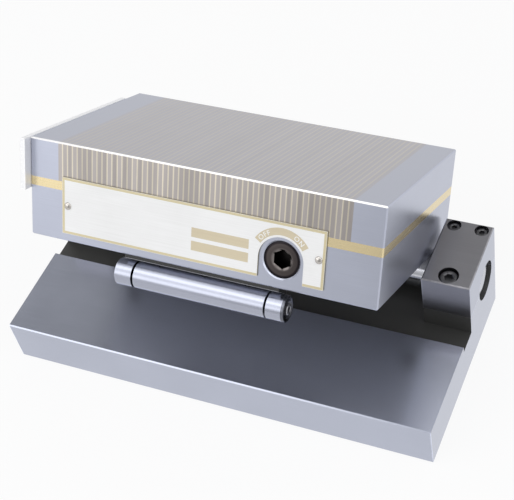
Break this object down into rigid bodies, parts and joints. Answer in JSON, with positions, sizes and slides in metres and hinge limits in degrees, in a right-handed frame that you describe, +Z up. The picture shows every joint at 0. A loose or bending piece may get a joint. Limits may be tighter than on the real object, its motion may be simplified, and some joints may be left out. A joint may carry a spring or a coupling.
{
  "type": "magnetic sine chuck",
  "caption": "Rectangular permanent magnet chuck hinged on a base plate between two clamp caps, with a sine roller under its raised front and a hexagon socket switch.",
  "frame": {"origin": "centre of the base plate's underside", "axes": "+X along the length and the hinge axis, +Y from the open front to the hinge at the back, +Z up"},
  "size_m": [0.227, 0.1279, 0.1301],
  "materials": {
    "ground_steel": "ground",
    "black_oxide": "black oxide",
    "base_steel": "ground",
    "screw_steel": "black oxide",
    "roller_steel": "fine ground",
    "pole_steel": "ground",
    "brass": "ground",
    "key_steel": "browned",
    "nameplate": "printed",
    "rivet": "plain",
    "seal_rubber": "moulded",
    "carriage": "milled",
    "magnet": "sintered"
  },
  "bodies": {
    "base": {"base_plate": "base_steel", "clamp_cap_left": "black_oxide", "clamp_cap_right": "black_oxide", "cap_screws_front": "screw_steel", "cap_screws_rear": "screw_steel"},
    "chuck": {"hinge_shaft": "roller_steel", "hinge_saddle": "black_oxide", "hinge_shaft_screws": "screw_steel", "chuck_body": "ground_steel", "brass_separator": "brass", "end_block_left": "ground_steel", "end_block_right": "ground_steel", "pole_laminations": "pole_steel", "brass_strips": "brass", "top_plate_screws": "screw_steel", "nameplate": "nameplate", "nameplate_rivets": "rivet", "side_stop_washers": "ground_steel", "side_stop_screws": "screw_steel", "sine_saddle": "black_oxide", "sine_roller": "roller_steel", "roller_collar_left": "roller_steel", "roller_collar_right": "roller_steel", "roller_end_screws": "screw_steel", "sine_roller_screws": "screw_steel", "slide_strips": "brass"},
    "switch": {"switch_shaft": "key_steel", "shaft_seal": "seal_rubber", "retaining_ring": "key_steel"},
    "carriage": {"magnet_carriage": "carriage", "pole_bars": "pole_steel", "magnets": "magnet"},
    "stop": {"side_stop": "ground_steel"}
  },
  "joints": [
    {"name": "chuck_tilt", "type": "hinge", "parent": "base", "child": "chuck", "pos_m": [0, 0.0356, 0.0332], "axis": [-1, 0, 0], "range_deg": [-30, 15]},
    {"name": "switch_turn", "type": "hinge", "parent": "chuck", "child": "switch", "pos_m": [0.0412, -0.02787, 0.09807], "axis": [0, 0.866, -0.5], "range_deg": [0, 180]},
    {"name": "magnet_slide", "type": "slide", "parent": "chuck", "child": "carriage", "axis": [1, 0, 0], "range_m": [0, 0.004]},
    {"name": "stop_slide", "type": "slide", "parent": "chuck", "child": "stop", "axis": [0, 0.5, 0.866], "range_m": [-0.004, 0.006]}
  ],
  "couplings": [
    {"joint": "switch_turn", "follows": "magnet_slide", "rad_per_m": 785.4}
  ]
}
